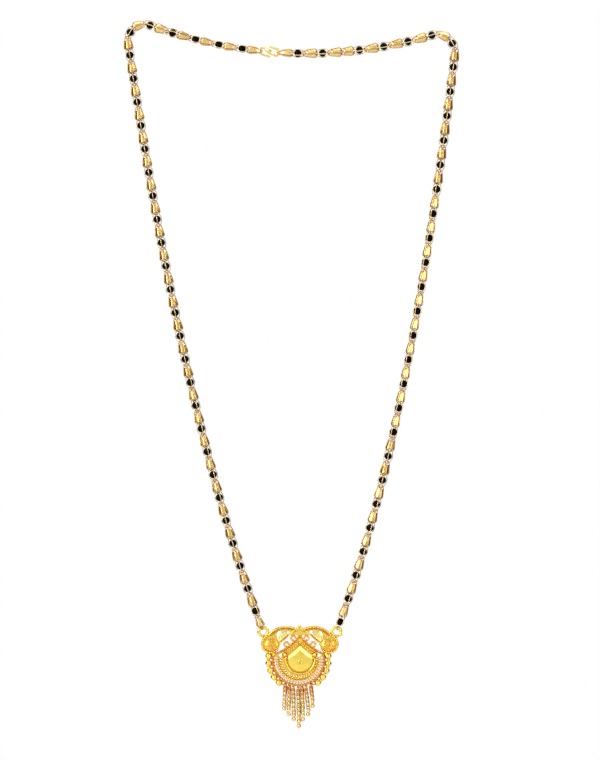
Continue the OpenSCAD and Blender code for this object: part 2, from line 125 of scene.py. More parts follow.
# The pendant's own middle, the height of its face, and middles and radii of the round parts in its
# own plane
PENDANT = (3.84316, -280.997)
FACE = 0.5
FAN_MIDDLE = (-0.6, -1.2)
FAN_RADIUS = 11.9
DROP_MIDDLE = (0.2, -0.8)
ARCH_MIDDLE = (-6.25, 3.64)
LEAF_MIDDLE = (-7.1, 9.3)
ROOF_MIDDLE = (-22.29, 27.70)
DOME_MIDDLE = (-12.7, 5.2)
SCROLLS = [(-2.95, 8.6), (-6.0, 5.75)]
# The slots of the fan: how many, radius at the middle of their length, first and last angle
SLOTS = 28
SLOT_RADIUS = 10.15
FIRST_SLOT = 172
LAST_SLOT = 368
# Balls on the fan's edge: how many a side, and the angle of the first with the step to the next,
# on the right and on the left
EDGE_BALLS = 5
BALL_ROWS = [(7, -14.2), (173, 14.2)]

# Grains: radius, and spacing in a row
FINE_GRAIN = 0.24
GRAIN_SPACING = 0.52
# Rows of grains: middle, radius, first and last angle, spacing, height over the face
ROOF_ROW = (ROOF_MIDDLE, 31.4, -62.5, -42.5, GRAIN_SPACING, 0.05)
SLOT_ROW = (FAN_MIDDLE, 9.2, FIRST_SLOT, LAST_SLOT, 0.5, 0.28)
# Single grains in the fields of a paisley: height over the face, and where they lie
FIELD_LIFT = 0.08
FIELD_GRAINS = [
    (-14.3, 8.9), (-13.6, 9.6), (-13.4, 8.2), (-11.2, 8.9), (-10.8, 11.0), (-11.6, 10.8),
    (-10.0, 11.7), (-9.6, 6.9), (-9.0, 6.5), (-10.0, 7.4), (-15.4, 7.6), (-3.6, 12.3), (-4.4, 12.6),
]
# The low swelling in a bulb, covered with rings of grains: radius of its ball, height, rings and
# the distance from one to the next
DOME_BALL = 6.5
DOME_HEIGHT = 0.75
DOME_RINGS = 7
DOME_STEP = 0.5
# Grains between the edge balls: radius, distance past the fan's edge, height off the middle plane
RIM_GRAIN = 0.62
RIM_GRAIN_OUT = 1.75
RIM_GRAIN_LIFT = 0.3

# Ropes: middle, radius, first and last angle, height over the face, distance of the two strands
# from the rope's middle; then length of a turn, points a turn and radius of a strand
RIM_ROPE = (FAN_MIDDLE, FAN_RADIUS - 0.49, 170, 370, 0.5, 0.17)
ROOF_ROPE = (ROOF_MIDDLE, 28.6, -66.5, -38.6, 0.42, 0.17)
# The arch rope runs where the beaded arch throws its shade, and its deep red gold paints that shade
ARCH_ROPE = (ARCH_MIDDLE, 9.12, 62, 138, 0.12, 0.14)
ROPE_TURN = 1.5
ROPE_POINTS = 5
ROPE_WIRE = 0.19
# The comma drop beside the arch as a closed line, its height over the face and its wire
EAR_LINE = [
    (-7.9, 1.2), (-7.1, 2.3), (-5.8, 1.9), (-5.6, 0.6), (-5.4, -0.6), (-6.1, -1.2), (-7.0, -0.5),
]
EAR_LIFT = 0.12
EAR_WIRE = 0.2
# The wire under the slots' ribs and the open scrolls, with a point every so many degrees
ARC_STEP = 20
SLOT_WIRE = 0.16
SLOT_WIRE_LIFT = -0.1
SCROLL_RADIUS = 1.12
SCROLL_WIRE = 0.32
SCROLL_ANGLES = (-20, 290)
# Loops of wire behind the edge balls: radius, wire, distance past the fan's edge
RIM_LOOP = 0.72
RIM_LOOP_WIRE = 0.27
RIM_LOOP_OUT = 0.62

# Small leaves: length, width and height
CRESCENT_LEAF = (1.5, 0.62, 0.4)
SLOT_RIB = (1.5, 0.34, 0.26)
# Where a small leaf's tip starts, as a part of its half length, and how the tip is drawn out
TIP_START = 0.6
TIP_SCALE = (1.06, 0.55, 0.8)
# The ring of crescent leaves: how many, radius, first angle and step, lean to either side, and how
# near to the drop's middle they may lie
CRESCENTS = 22
CRESCENT_RADIUS = 7.6
CRESCENT_START = 173.5
CRESCENT_STEP = 9
CRESCENT_LEAN = 24
DROP_CLEARANCE = 7.2

# A polished leaf is the cap of a ball: radius, height over the face, lift of the shell, its
# thickness, height of the cut, and the straight inner edge as a point and a direction
LEAF_BALL = 7
LEAF_HEIGHT = 0.9
LEAF_LIFT = 0.04
LEAF_SHELL = 0.03
LEAF_FOOT = 6.14
LEAF_EDGE = ((0.05, -0.50, 0), (0.667, -0.745, 0))
# Its veins: radius, first and last angle, height over the face; then spans a vein and its wire
VEINS = [(1.65, 40, 225, 0.72), (2.75, 60, 205, 0.38), (3.3, 60, 205, 0.14)]
VEIN_SPANS = 8
VEIN_WIRE = 0.12

# The range that most of a noise lies in
NOISE_LOW = 0.3
NOISE_HIGH = 0.7


# Where every link hangs

def side_angles(side):
    """Lean of each link of a side strand away from upright, from the pendant up."""
    count = SIDE_LINKS[side]
    return [
        atan(tan(RING_LEAN) / (1 + STRAIGHTENING[side] * (i + 0.5) / count))
        for i in range(count)
    ]


def top_angles():
    """Slope of each link of the top stretch and of the clasp, from the left corner to the right."""
    left = LINKS - SIDE_LINKS["left"] - CORNER_LINKS
    right = LINKS - SIDE_LINKS["right"] - CORNER_LINKS
    middles = [PITCH["left"] * (j + 0.5) for j in range(left)]
    middles.append(PITCH["left"] * left + CLASP_LENGTH / 2)
    start = PITCH["left"] * left + CLASP_LENGTH
    middles += [start + PITCH["right"] * (j + 0.5) for j in range(right)]
    scale, lowest = TOP_CURVE
    return [atan((s - lowest) / scale) for s in middles]


def corner_angles(before, after):
    """Directions of the links of a corner, in even steps from one stretch to the next."""
    return [before + (after - before) * (j + 1) / (CORNER_LINKS + 1) for j in range(CORNER_LINKS)]


def loop_angles():
    """Direction of each link, from the left ring up, over the top and down to the right ring."""
    up = [pi / 2 + lean for lean in side_angles("left")]
    top = top_angles()
    down = [-pi / 2 - lean for lean in reversed(side_angles("right"))]
    return up + corner_angles(up[-1], top[0]) + top + corner_angles(top[-1], down[0]) + down


ANGLES = loop_angles()


def loop_pivots():
    """The points, x and z, where the links hang in each other, in the same order."""
    points = [LEFT_RING]
    for k, angle in enumerate(ANGLES):
        step = PITCH["left"] if k < LINKS else CLASP_LENGTH if k == LINKS else PITCH["right"]
        x, z = points[-1]
        points.append((x + step * cos(angle), z + step * sin(angle)))
    return points


PIVOTS = loop_pivots()


def is_gold(side, i):
    """Whether a link, counted from the pendant's ring, is a gold bell and not a bead in a cage."""
    if side == "left" or i > DOUBLE_GOLD:
        return i % 2 == 0
    return i % 2 == 1


def link_place(side, i):
    """Matrix from a link's own axes, Z along it, to the frame."""
    steps = sum(
        copysign(max(0, min(abs(most), i - first, last - i)), most)
        for first, last, most in TURNED[side]
    )
    roll = radians(ROLL + ROLL_STEP * steps)
    if side == "left":
        foot, angle = PIVOTS[i], ANGLES[i]
    else:
        foot, angle = PIVOTS[-1 - i], ANGLES[-1 - i] + pi
    s, c = sin(angle), cos(angle)
    return Matrix((
        (cos(roll) * s, -sin(roll) * s, c, foot[0]),
        (sin(roll), cos(roll), 0, 0),
        (-cos(roll) * c, sin(roll) * c, s, foot[1]),
        (0, 0, 0, 1),
    ))


def pendant_place(x=0, y=0, z=0, turn=0):
    """Matrix from a small ornament's own axes to the frame, at a point of the pendant's plane."""
    plane = Matrix((
        (1, 0, 0, PENDANT[0]),
        (0, 0, -1, 0),
        (0, 1, 0, PENDANT[1]),
        (0, 0, 0, 1),
    ))
    return plane @ Matrix.Translation((x, y, z)) @ Matrix.Rotation(turn, 4, "Z")


MIRROR = Matrix.Scale(-1, 4, (1, 0, 0))
FLIP = pendant_place() @ MIRROR @ pendant_place().inverted()


def both_sides(places):
    """The places, and each again on the other side of the pendant's middle."""
    return places + [FLIP @ place @ MIRROR for place in places]


def on_arc(middle, radius, angle):
    """The point of a circle at an angle in degrees."""
    a = radians(angle)
    return middle[0] + radius * cos(a), middle[1] + radius * sin(a)


# Finishes

class Finish:
    """A material's node tree with the few nodes that all the finishes here share."""

    def __init__(self, name, metallic):
        self.material = bpy.data.materials.new(name)
        self.material.use_nodes = True
        self.nodes = self.material.node_tree.nodes
        self.links = self.material.node_tree.links
        self.shader = self.nodes["Principled BSDF"]
        self.shader.inputs["Metallic"].default_value = metallic
        self.place = self.nodes.new("ShaderNodeTexCoord").outputs["Object"]

    def noise(self, scale, detail=3.0):
        node = self.nodes.new("ShaderNodeTexNoise")
        node.inputs["Scale"].default_value = scale
        node.inputs["Detail"].default_value = detail
        self.links.new(self.place, node.inputs["Vector"])
        return node.outputs["Fac"]

    def cloud(self, scale, *stops):
        """A noise turned into colours, each stop a position and a colour."""
        noise = self.noise(scale)
        node = self.nodes.new("ShaderNodeValToRGB")
        for element, (position, colour) in zip(node.color_ramp.elements, stops):
            element.position = position
            element.color = (*colour, 1)
        self.links.new(noise, node.inputs["Fac"])
        return node.outputs["Color"]

    def blend(self, factor, first, second):
        """From the first colour to the second; either is a tuple or another node's output."""
        mix = self.nodes.new("ShaderNodeMix")
        mix.data_type = "RGBA"
        self.links.new(factor, mix.inputs["Factor"])
        for socket, colour in (("A", first), ("B", second)):
            if isinstance(colour, tuple):
                mix.inputs[socket].default_value = (*colour, 1)
            else:
                self.links.new(colour, mix.inputs[socket])
        return mix.outputs["Result"]

    def span(self, value, low, high, to_low=0.0, to_high=1.0):
        """A value stretched from one range to another."""
        node = self.nodes.new("ShaderNodeMapRange")
        ends = {"From Min": low, "From Max": high, "To Min": to_low, "To Max": to_high}
        for socket, end in ends.items():
            node.inputs[socket].default_value = end
        self.links.new(value, node.inputs["Value"])
        return node.outputs["Result"]

    def paint_corner_shade(self, open_colour, reach, corner_shade_colour, low, high):
        """Painted shade: open surface in one colour, corners within reach of another wall in a
        deeper one.
        """
        node = self.nodes.new("ShaderNodeAmbientOcclusion")
        node.samples = 6
        node.inputs["Distance"].default_value = reach * MM
        return self.blend(self.span(node.outputs["AO"], low, high), corner_shade_colour, open_colour)

    def paint_top_shade(self, colour, top, foot, top_shade_colour):
        """Painted shade: a deeper colour near the top, fading out downwards."""
        parts = self.nodes.new("ShaderNodeSeparateXYZ")
        self.links.new(self.place, parts.inputs["Vector"])
        return self.blend(self.span(parts.outputs["Z"], foot * MM, top * MM), colour, top_shade_colour)

    def colour(self, value):
        self.links.new(value, self.shader.inputs["Base Color"])

    def polish(self, scale, low, high):
        """Roughness between two values, in a cloud."""
        roughness = self.span(self.noise(scale), NOISE_LOW, NOISE_HIGH, low, high)
        self.links.new(roughness, self.shader.inputs["Roughness"])

    def bump(self, scale, height):
        """A fine relief over those before it; the height is in millimetres."""
        noise = self.noise(scale, 2)
        node = self.nodes.new("ShaderNodeBump")
        node.inputs["Distance"].default_value = height * MM
        last = self.shader.inputs["Normal"]
        if last.is_linked:
            self.links.new(last.links[0].from_socket, node.inputs["Normal"])
        self.links.new(noise, node.inputs["Height"])
        self.links.new(node.outputs["Normal"], last)


def gold(name, cloud, tones, polish, bumps, corners=(), shade=None, metallic=1.0):
    """A gold of two tones in a cloud of the given scale.

    Each corner is painted shade in the hollows: a reach in millimetres, a colour and the openness
    where it is full and gone.
    Polish is the scale of a cloud and the least and most roughness, and a bump is a scale and a
    height in millimetres. The shade is painted shade from the top down: a height, a lower one and
    the colour at the first.
    """
    finish = Finish(name, metallic)
    colour = finish.cloud(cloud, (NOISE_LOW, tones[0]), (NOISE_HIGH, tones[1]))
    if shade:
        colour = finish.paint_top_shade(colour, *shade)
    for corner in corners:
        colour = finish.paint_corner_shade(colour, *corner)
    finish.colour(colour)
    finish.polish(*polish)
    for bump in bumps:
        finish.bump(*bump)
    return finish.material


def black_glass():
    """Black beads: glossy, with a faint swirl and the odd pit."""
    finish = Finish("black_glass", 0.0)
    finish.shader.inputs["Specular IOR Level"].default_value = 0.05
    dark, lighter = (0.35, (0.0005, 0.0005, 0.0005)), (0.75, (0.003, 0.0025, 0.0025))
    finish.colour(finish.cloud(400, dark, lighter))
    finish.polish(900, 0.06, 0.18)
    finish.bump(1100, 0.03)
    return finish.material


# High carat gold of the pendant: bright lemon on top, deep orange in the corners as painted shade
CAST_GOLD = gold(
    "cast_gold", 420, [(1.0, 0.70, 0.09), (1.0, 0.83, 0.19)], (900, 0.14, 0.30),
    [(2600, 0.03), (500, 0.04)],
    [(1.8, (0.80, 0.30, 0.02), 0.15, 0.95), (0.45, (0.50, 0.09, 0.005), 0.30, 0.90)],
)
# Small soldered ornaments, a little rougher and deeper in colour, and deep orange in their corners
# as painted shade
GRAIN_GOLD = gold(
    "grain_gold", 700, [(1.0, 0.64, 0.07), (1.0, 0.82, 0.19)], (1500, 0.16, 0.34),
    [(3500, 0.03)], [(0.5, (0.66, 0.18, 0.005), 0.20, 0.85)],
)
# The twisted wires and the loops behind the edge balls: a redder, deeper copy of the gold as
# painted shade, with deeper red in the corners as painted shade
ROPE_SHADE_GOLD = gold(
    "rope_shade_gold", 700, [(0.86, 0.36, 0.04), (1.0, 0.56, 0.11)], (1500, 0.18, 0.36),
    [(3500, 0.02)], [(0.8, (0.42, 0.08, 0.005), 0.35, 1.0)],
)
# Pale lemon polish of the leaves: the near white tone is painted sheen, and the corners go deeper
# orange as painted shade
PALE_SHEEN_GOLD = gold(
    "pale_gold", 450, [(1.0, 0.94, 0.40), (1.0, 1.0, 0.60)], (1500, 0.12, 0.26),
    [(2500, 0.03)], [(0.7, (0.85, 0.50, 0.08), 0.30, 0.95)], metallic=0.9,
)
# Bells of the chain: satin, brown in the grooves as painted shade
SATIN_GOLD = gold(
    "satin_gold", 300, [(0.88, 0.62, 0.21), (0.98, 0.80, 0.37)], (400, 0.20, 0.32),
    [(4000, 0.02)], [(1.1, (0.30, 0.08, 0.006), 0.45, 0.95)],
)
# Thin drawn wire of the cages, nearly white where it shines
WIRE_GOLD = gold(
    "wire_gold", 500, [(0.86, 0.56, 0.20), (0.98, 0.76, 0.38)], (1500, 0.14, 0.28),
    [(3000, 0.01)],
)
# Wire over the bells: a darker, browner copy of the wire gold as painted shade along the bells, and
# deeper still in the corners as painted shade
BELL_WIRE_SHADE_GOLD = gold(
    "bell_wire_shade_gold", 500, [(0.76, 0.38, 0.09), (0.95, 0.60, 0.22)], (1500, 0.16, 0.30),
    [(3000, 0.01)], [(0.9, (0.25, 0.05, 0.004), 0.35, 0.95)],
)
# Pale lemon gold of the clasp, softly hammered
CLASP_GOLD = gold(
    "clasp_gold", 350, [(0.95, 0.70, 0.20), (1.0, 0.83, 0.34)], (800, 0.16, 0.34),
    [(700, 0.06)],
)
# Bright gold of the fringe, with painted shade: redder near the top where it hangs under the fan,
# and deeper in the corners
FRINGE_GOLD = gold(
    "fringe_gold", 600, [(1.0, 0.60, 0.14), (1.0, 0.82, 0.34)], (1500, 0.12, 0.26),
    [(3000, 0.02)], [(1.0, (0.34, 0.08, 0.004), 0.42, 0.95)],
    shade=(-294.5, -300.5, (0.82, 0.30, 0.03)),
)
BLACK_GLASS = black_glass()


# Ways of making

def as_mesh(bm):
    mesh = bpy.data.meshes.new("part")
    bm.to_mesh(mesh)
    bm.free()
    return mesh


def joined(*meshes):
    bm = bmesh.new()
    for mesh in meshes:
        bm.from_mesh(mesh)
    return bm


def set_out(template, places, bm=None):
    """Copies of a small mesh, one at each place."""
    bm = bm or bmesh.new()
    for place in places:
        template.transform(place)
        bm.from_mesh(template)
        template.transform(place.inverted())
    return bm


def finish_piece(bm, name, material, body, slot, *stands_for):
    """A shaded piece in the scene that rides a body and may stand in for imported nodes."""
    bmesh.ops.scale(bm, vec=(MM, MM, MM), verts=bm.verts)
    for face in bm.faces:
        face.smooth = True
    mesh = as_mesh(bm)
    mesh.name = name
    mesh.materials.clear()
    mesh.materials.append(material)
    piece = bpy.data.objects.new(name, mesh)
    bpy.context.scene.collection.objects.link(piece)
    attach(piece, body)
    if stands_for:
        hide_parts(*stands_for)


def wires(lines, radius, closed=True, sides=8, smooth=4):
    """Round wires bent along lists of points, as one mesh."""
    curve = bpy.data.curves.new("bent_wire", "CURVE")
    curve.dimensions = "3D"
    curve.bevel_depth = radius
    curve.bevel_resolution = (sides - 4) // 2
    curve.use_fill_caps = not closed
    curve.resolution_u = smooth
    for line in lines:
        spline = curve.splines.new("BEZIER")
        spline.bezier_points.add(len(line) - 1)
        spline.use_cyclic_u = closed
        for point, place in zip(spline.bezier_points, line):
            point.co = place
            point.handle_left_type = point.handle_right_type = "AUTO"
    holder = bpy.data.objects.new("bent_wire", curve)
    mesh = bpy.data.meshes.new_from_object(holder)
    bpy.data.objects.remove(holder)
    bpy.data.curves.remove(curve)
    return mesh


def round_ring(radius, wire, upright=False):
    """A ring of wire, flat on the plate or standing across it."""
    line = []
    for a in (0, pi / 2, pi, 3 * pi / 2):
        p, q = radius * cos(a), radius * sin(a)
        line.append((0, p, q) if upright else (p, q, 0))
    return wires([line], wire)


def turned(profile, steps):
    """A profile of (radius, height) points spun round the Z axis and closed at its poles."""
    bm = bmesh.new()
    verts = [bm.verts.new((r, 0, z)) for r, z in profile]
    edges = [bm.edges.new(pair) for pair in zip(verts, verts[1:])]
    bmesh.ops.spin(
        bm, geom=verts + edges, cent=(0, 0, 0), axis=(0, 0, 1), angle=2 * pi,
        steps=steps, use_merge=True, use_duplicate=False,
    )
    bmesh.ops.remove_doubles(bm, verts=bm.verts, dist=0.001)
    bmesh.ops.recalc_face_normals(bm, faces=bm.faces)
    return bm


# Chain

def folded_ring(body_points, low, low_half, high):
    """A ring of wire folded over and spread round a bead, as closed points."""
    o, s = STRAND_OFFSET, sqrt(0.5)

    def leg(sp, sq):
        """One leg of the ring, from the fold at its foot to the loop at its head."""
        return [
            (sp * low_half, sq * o, low + EYE_CORNER),
            *[(sp * s * r, sq * s * r, z) for r, z in body_points],
            (sp * o, sq * EYE_HALF, high - EYE_CORNER),
        ]

    loop, fold = high + EYE_CROWN, low - EYE_CROWN
    return [
        *leg(1, 1), (o, 0, loop), *reversed(leg(1, -1)), (0, -o, fold),
        *leg(-1, -1), (-o, 0, loop), *reversed(leg(-1, 1)), (0, o, fold),
    ]


def link_rings(side, gold_links, body_points):
    """The folded rings of a strand's gold links, or of its bead links."""
    rings = []
    for i in range(LINKS):
        if is_gold(side, i) == gold_links:
            low, half = (-RING_DROP, RING_HALF) if i == 0 else (-EYE_DROP, EYE_HALF)
            high = PITCH[side] + (CLASP_RISE if i == LINKS - 1 else EYE_DROP)
            place = link_place(side, i)
            ring = folded_ring(body_points(side, i), low, half, high)
            rings.append([place @ Vector(p) for p in ring])
    return wires(rings, WIRE)


def cage_points(side, i):
    """Radius and height of the points where a leg of the ring passes its bead."""
    middle = PITCH[side] / 2
    return [
        (CAGE_SHOULDER, middle - CAGE_REACH), (CAGE_RADIUS, middle),
        (CAGE_SHOULDER, middle + CAGE_REACH),
    ]


def bead_cages(side):
    finish_piece(
        joined(link_rings(side, False, cage_points)),
        "bead_cages_" + side, WIRE_GOLD, "chain", "gold_wire", "bead_links_" + side,
    )


def bell_ends(side, i):
    """Heights of a bell's rim and top, a little closer together where the chain bends."""
    first, last = SIDE_LINKS[side], SIDE_LINKS[side] + CORNER_LINKS
    rim = BENT_RIM if i == 0 or first <= i <= last else BELL_RIM
    gap = BENT_TOP_GAP if i == LINKS - 1 or first - 1 <= i < last else BELL_TOP_GAP
    return rim, PITCH[side] - gap


def bell_radius(height, top):
    """Outer radius of a bell between its flutes: full up to the collar, then narrower."""
    return BELL_RADIUS - BELL_TAPER * max(0, height - BELL_COLLAR) / (top - BELL_COLLAR)


def fluted_bell(rim, top):
    """A bell with eight flutes, four of which take the wires; its points are (radius, height)."""
    inside = [(0, 1.42), (1.55, 1.40), (1.62, rim + 0.15), (1.74, rim)]
    outside = [(1.90, rim + 0.04), (1.97, rim + 0.30)]
    outside += [(bell_radius(z, top), z) for z in (BELL_COLLAR, 2.1, 2.8, 3.5)]
    crown = [(1.46, top - 0.10), (1.30, top), (0, top + 0.04)]
    bm = turned(inside + outside + crown, BELL_STEPS)
    grooves = []
    for v in bm.verts:
        step = round(degrees(atan2(v.co.y, v.co.x)) / (360 / BELL_STEPS))
        outer = hypot(v.co.x, v.co.y) > max(1.4, bell_radius(v.co.z, top) - 0.1)
        if v.co.z > rim + 0.2 and outer and step % (BELL_STEPS // BELL_FLUTES) == 0:
            grooves.append(v)
    bmesh.ops.scale(bm, vec=(GROOVE_SCALE, GROOVE_SCALE, 1), verts=grooves)
    return as_mesh(bm)


def gold_bells(side):
    bm = bmesh.new()
    for i in range(LINKS):
        if is_gold(side, i):
            set_out(fluted_bell(*bell_ends(side, i)), [link_place(side, i)], bm)
    finish_piece(
        bm, "gold_bells_" + side, SATIN_GOLD, "chain", "matte_gold", "gold_links_" + side
    )


def bell_points(side, i):
    """Radius and height of the points where a leg of the ring passes its bell."""
    rim, top = bell_ends(side, i)
    return [(1.92, rim + 0.12), (1.96, BELL_COLLAR), (1.72, 2.9), (1.47, top)]


def bell_wires(side):
    """The folded ring that runs over each bell, a leg in every other flute."""
    finish_piece(
        joined(link_rings(side, True, bell_points)),
        "bell_wires_" + side, BELL_WIRE_SHADE_GOLD, "chain", "gold_wire", "gold_links_" + side,
    )


# Fringe

def box_link():
    """A square link of flat strip, open along its own X axis."""
    bm = bmesh.new()
    bmesh.ops.create_circle(bm, segments=4, radius=BOX_RADIUS)
    bmesh.ops.rotate(bm, verts=bm.verts, matrix=Matrix.Rotation(pi / 4, 3, "Z"))
    bmesh.ops.bevel(
        bm, geom=list(bm.verts), offset=BOX_ROUNDING, affect="VERTICES", segments=2,
        profile=0.5, material=-1,
    )
    bmesh.ops.rotate(bm, verts=bm.verts, matrix=Matrix.Rotation(pi / 2, 3, "Y"))
    bmesh.ops.translate(bm, verts=bm.verts, vec=(-BOX_WIDTH / 2, 0, 0))
    strip = bmesh.ops.extrude_edge_only(bm, edges=bm.edges)["geom"]
    far_edge = [v for v in strip if isinstance(v, bmesh.types.BMVert)]
    bmesh.ops.translate(bm, verts=far_edge, vec=(BOX_WIDTH, 0, 0))
    bmesh.ops.recalc_face_normals(bm, faces=bm.faces)
    bmesh.ops.solidify(bm, geom=bm.faces, thickness=BOX_WALL)
    return as_mesh(bm)


def fringe_links(k):
    """A short box chain from an eyelet under the fan down to its ball."""
    x_top, x_ball, top, bottom = FRINGE[k]

    def x_at(t):
        """The chain's x at a part of its way down, an easy double curve."""
        return x_top + (x_ball - x_top) * t * t * (3 - 2 * t)

    count = round((top - bottom) / BOX_SPACING)
    link = box_link()
    bm = bmesh.new()
    near = 0.02
    for j in range(count):
        t = (j + 0.5) / count
        lean = (x_at(t + near) - x_at(t - near)) / (2 * near * (top - bottom))
        sway = BOX_SWAY * sin(0.8 * j + 2 * k)
        turn = (j % 2) * pi / 2 + radians(BOX_TURN + sway)
        place = (
            pendant_place(x_at(t), top + (bottom - top) * t)
            @ Matrix.Rotation(lean, 4, "Z")
            @ Matrix.Rotation(-pi / 2, 4, "X")
            @ Matrix.Rotation(turn, 4, "Z")
        )
        set_out(link, [place], bm)
    finish_piece(
        bm, f"fringe_links_{k + 1}", FRINGE_GOLD, "pendant", "gold_chain", f"fringe_chain_{k + 1}"
    )


def fringe_rings():
    """A small ring in each eyelet of the fan, which takes the first link of its chain."""
    ring = round_ring(FRINGE_RING, FRINGE_RING_WIRE, upright=True)
    places = [pendant_place(x_top, top + FRINGE_RING_LIFT) for x_top, _, top, _ in FRINGE]
    finish_piece(set_out(ring, places), "fringe_rings", FRINGE_GOLD, "pendant", "gold_chain")


# Pendant ornament

def ornament(bm, name, material):
    """Trim that is soldered to the pendant."""
    finish_piece(bm, name, material, "pendant", "gold")


def grain(radius, subdivisions=1):
    bm = bmesh.new()
    bmesh.ops.create_icosphere(bm, subdivisions=subdivisions, radius=radius)
    return as_mesh(bm)


def arc_places(middle, radius, start, end, spacing, height):
    """Even places along an arc, at a height over the face."""
    count = max(2, round(abs(radians(end - start)) * radius / spacing))
    spots = [on_arc(middle, radius, start + (end - start) * j / count) for j in range(count + 1)]
    return [pendant_place(x, y, FACE + height) for x, y in spots]


def dome_places():
    """Rings of places over the low swelling in a paisley's bulb."""
    places = []
    for ring in range(DOME_RINGS):
        d = DOME_STEP * ring
        height = DOME_HEIGHT - DOME_BALL + sqrt(DOME_BALL ** 2 - d ** 2)
        count = max(1, round(2 * pi * d / GRAIN_SPACING))
        for j in range(count):
            x, y = on_arc(DOME_MIDDLE, d, 360 * j / count)
            places.append(pendant_place(x, y, FACE + height))
    return places


def fine_grains():
    """Tiny grains along the roof and the slots, over the bulbs and in the paisleys' fields."""
    field = [pendant_place(x, y, FACE + FIELD_LIFT) for x, y in FIELD_GRAINS]
    places = both_sides(arc_places(*ROOF_ROW) + dome_places() + field) + arc_places(*SLOT_ROW)
    ornament(set_out(grain(FINE_GRAIN), places), "fine_grains", GRAIN_GOLD)


def rope_line(middle, radius, start, end, height, thickness, phase, flip=1):
    """One strand of a rope; flip is -1 for the other side of the pendant."""
    turns = abs(radians(end - start)) * radius / ROPE_TURN
    steps = round(turns * ROPE_POINTS)
    line = []
    for j in range(steps + 1):
        t = j / steps
        twist = 2 * pi * turns * t + phase
        x, y = on_arc(middle, radius + thickness * cos(twist), start + (end - start) * t)
        line.append(pendant_place() @ Vector((flip * x, y, FACE + height + thickness * sin(twist))))
    return line


def wire_arc(middle, radius, start, end, height, spans, flip=1):
    """A plain arc as points, spans of them after the first; flip as in rope_line."""
    spots = [on_arc(middle, radius, start + (end - start) * j / spans) for j in range(spans + 1)]
    return [pendant_place() @ Vector((flip * x, y, FACE + height)) for x, y in spots]


def twisted_wires():
    """Rope on the rim, the roof lines and the arches, with the ears, scrolls and slot wire."""
    ropes = []
    for phase in (0, pi):
        ropes.append(rope_line(*RIM_ROPE, phase))
        for flip in (1, -1):
            ropes.append(rope_line(*ROOF_ROPE, phase, flip))
            ropes.append(rope_line(*ARCH_ROPE, phase, flip))
    ears = [
        [pendant_place() @ Vector((flip * x, y, FACE + EAR_LIFT)) for x, y in EAR_LINE]
        for flip in (1, -1)
    ]
    spans = round((LAST_SLOT - FIRST_SLOT) / ARC_STEP)
    slot_wire = wire_arc(FAN_MIDDLE, SLOT_RADIUS, FIRST_SLOT, LAST_SLOT, SLOT_WIRE_LIFT, spans)
    bm = joined(
        wires(ropes, ROPE_WIRE, closed=False, sides=6, smooth=2),
        wires(ears, EAR_WIRE, sides=6),
        wires([slot_wire], SLOT_WIRE, closed=False, sides=6, smooth=1),
    )
    start, end = SCROLL_ANGLES
    spans = round((end - start) / ARC_STEP)
    for middle in SCROLLS:
        for flip in (1, -1):
            scroll = wire_arc(middle, SCROLL_RADIUS, start, end, 0.0, spans, flip)
            bm.from_mesh(wires([scroll], SCROLL_WIRE, closed=False, smooth=2))
    ornament(bm, "twisted_wires", ROPE_SHADE_GOLD)


def small_leaf(length, width, height):
    """A pointed leaf with a raised middle rib, lying on the plate."""
    bm = bmesh.new()
    bmesh.ops.create_uvsphere(bm, u_segments=8, v_segments=6, radius=1.0)
    bmesh.ops.rotate(bm, verts=bm.verts, matrix=Matrix.Rotation(pi / 2, 3, "Y"))
    bmesh.ops.scale(bm, vec=(length / 2, width / 2, height), verts=bm.verts)
    tips = [v for v in bm.verts if abs(v.co.x) > TIP_START * length / 2]
    bmesh.ops.scale(bm, vec=TIP_SCALE, verts=tips)
    return as_mesh(bm)


def crescent_leaves():
    """Leaves between the drop's collar and the slots, leaning to either side in turn."""
    places = []
    for i in range(CRESCENTS):
        angle = CRESCENT_START + CRESCENT_STEP * i
        x, y = on_arc(FAN_MIDDLE, CRESCENT_RADIUS, angle)
        if hypot(x - DROP_MIDDLE[0], y - DROP_MIDDLE[1]) > DROP_CLEARANCE:
            lean = CRESCENT_LEAN if i % 2 else -CRESCENT_LEAN
            places.append(pendant_place(x, y, FACE, radians(angle + lean)))
    ornament(set_out(small_leaf(*CRESCENT_LEAF), places), "crescent_leaves", PALE_SHEEN_GOLD)


def slot_ribs():
    """Fine raised ribs on the bars between the fan's slots."""
    places = []
    for i in range(1, SLOTS):
        angle = FIRST_SLOT + (LAST_SLOT - FIRST_SLOT) * i / SLOTS
        x, y = on_arc(FAN_MIDDLE, SLOT_RADIUS, angle)
        places.append(pendant_place(x, y, FACE, radians(angle)))
    ornament(set_out(small_leaf(*SLOT_RIB), places), "slot_ribs", PALE_SHEEN_GOLD)


def beside_balls(out, count):
    """Points past the fan's edge, each half a step below an edge ball, counted from the top."""
    return [
        on_arc(FAN_MIDDLE, FAN_RADIUS + out, start + step * (i + 0.5))
        for start, step in BALL_ROWS
        for i in range(count)
    ]


def rim_loops():
    """Small wire loops on the rim, one below each of the edge balls."""
    places = [pendant_place(x, y) for x, y in beside_balls(RIM_LOOP_OUT, EDGE_BALLS)]
    # The loops take the deep rope gold, painted shade between the edge balls and the rim
    ornament(set_out(round_ring(RIM_LOOP, RIM_LOOP_WIRE), places), "rim_loops", ROPE_SHADE_GOLD)


def rim_grains():
    """Grains that fill the hollows between the edge balls."""
    places = [
        pendant_place(x, y, lift)
        for x, y in beside_balls(RIM_GRAIN_OUT, EDGE_BALLS - 1)
        for lift in (RIM_GRAIN_LIFT, -RIM_GRAIN_LIFT)
    ]
    ornament(set_out(grain(RIM_GRAIN, subdivisions=2), places), "rim_grains", GRAIN_GOLD)


